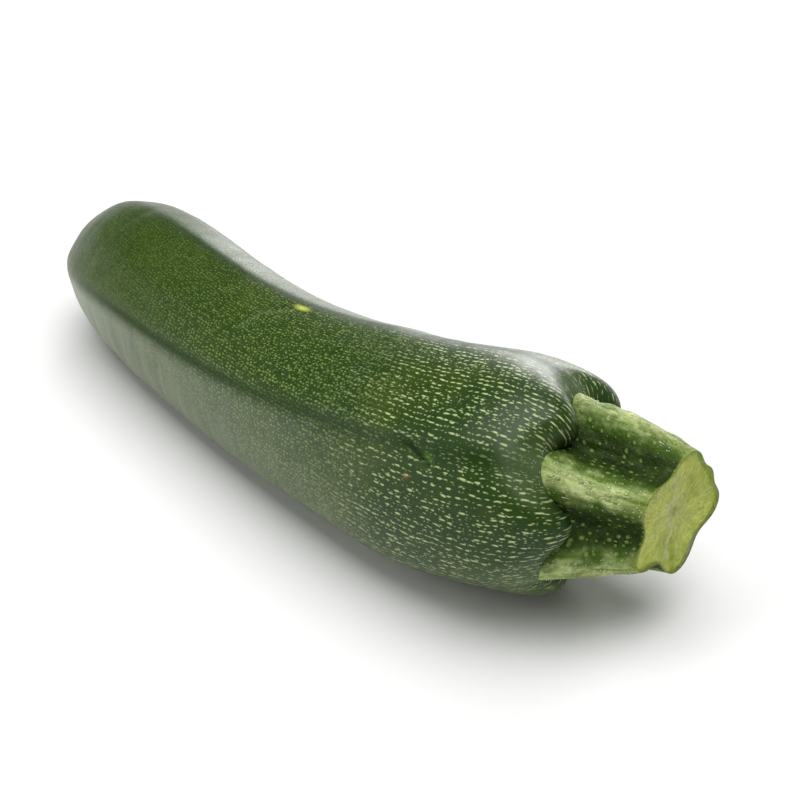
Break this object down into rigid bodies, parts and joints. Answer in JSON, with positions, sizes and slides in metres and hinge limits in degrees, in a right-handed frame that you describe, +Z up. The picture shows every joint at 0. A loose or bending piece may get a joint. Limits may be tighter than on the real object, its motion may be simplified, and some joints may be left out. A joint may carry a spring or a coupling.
{
  "type": "courgette",
  "caption": "Whole fresh courgette lying on its side, dark green and speckled, slightly bent, with low ribs and a short ridged stalk with a slanting cut.",
  "frame": {"origin": "bottom centre of the whole courgette's box, on the surface it lies on", "axes": "+X from the blossom end to the cut stalk along the length, +Z up, +Y towards the inner side of the bend"},
  "size_m": [0.1814, 0.0542, 0.0491],
  "materials": {
    "fruit": null,
    "stem": null
  },
  "bodies": {
    "root": {"fruit": "fruit", "stem": "stem"}
  },
  "joints": []
}
